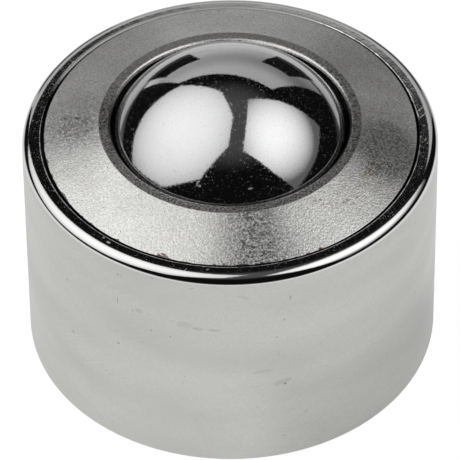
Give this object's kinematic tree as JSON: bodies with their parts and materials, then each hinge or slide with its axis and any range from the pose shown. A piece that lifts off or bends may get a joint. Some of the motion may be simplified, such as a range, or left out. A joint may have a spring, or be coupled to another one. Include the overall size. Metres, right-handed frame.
{
  "type": "ball castor",
  "caption": "Round drop-in ball castor: a large chromed ball turns freely in a plain cylindrical steel cup with a rolled lip and a conical cap.",
  "frame": {"origin": "centre of the flat base, on the axis of the cylinder", "axes": "+Z along the axis of the cylinder, out through the large ball; X and Y across it"},
  "size_m": [0.046, 0.046, 0.0368],
  "materials": {
    "plated_steel": "satin plated steel with a polished lip",
    "cap_steel": "satin pressed steel with a fine grain",
    "chromed_ball": "mirror chrome",
    "bearing_steel": "polished hardened steel",
    "race_steel": "hardened steel",
    "felt": "dark wool felt"
  },
  "bodies": {
    "housing": {"housing": "plated_steel", "race_cup": "race_steel", "cap_ring": "cap_steel", "wiper_ring": "felt"},
    "bearing_bed": {"bearing_ball_0_1": "bearing_steel", "bearing_ball_1_1": "bearing_steel", "bearing_ball_1_2": "bearing_steel", "bearing_ball_1_3": "bearing_steel", "bearing_ball_1_4": "bearing_steel", "bearing_ball_1_5": "bearing_steel", "bearing_ball_1_6": "bearing_steel", "bearing_ball_2_1": "bearing_steel", "bearing_ball_2_10": "bearing_steel", "bearing_ball_2_11": "bearing_steel", "bearing_ball_2_12": "bearing_steel", "bearing_ball_2_2": "bearing_steel", "bearing_ball_2_3": "bearing_steel", "bearing_ball_2_4": "bearing_steel", "bearing_ball_2_5": "bearing_steel", "bearing_ball_2_6": "bearing_steel", "bearing_ball_2_7": "bearing_steel", "bearing_ball_2_8": "bearing_steel", "bearing_ball_2_9": "bearing_steel", "bearing_ball_3_1": "bearing_steel", "bearing_ball_3_10": "bearing_steel", "bearing_ball_3_11": "bearing_steel", "bearing_ball_3_12": "bearing_steel", "bearing_ball_3_13": "bearing_steel", "bearing_ball_3_14": "bearing_steel", "bearing_ball_3_15": "bearing_steel", "bearing_ball_3_16": "bearing_steel", "bearing_ball_3_17": "bearing_steel", "bearing_ball_3_2": "bearing_steel", "bearing_ball_3_3": "bearing_steel", "bearing_ball_3_4": "bearing_steel", "bearing_ball_3_5": "bearing_steel", "bearing_ball_3_6": "bearing_steel", "bearing_ball_3_7": "bearing_steel", "bearing_ball_3_8": "bearing_steel", "bearing_ball_3_9": "bearing_steel", "bearing_ring_4": "bearing_steel", "bearing_ring_5": "bearing_steel", "bearing_ring_6": "bearing_steel"},
    "load_ball": {"load_ball": "chromed_ball"}
  },
  "joints": [
    {"name": "bed_orbit", "type": "hinge", "parent": "housing", "child": "bearing_bed", "pos_m": [0, 0, 0.0218], "axis": [0, 0, 1], "continuous": true},
    {"name": "ball_roll", "type": "hinge", "parent": "bearing_bed", "child": "load_ball", "pos_m": [0, 0, 0.0218], "axis": [1, 0, 0], "continuous": true}
  ]
}
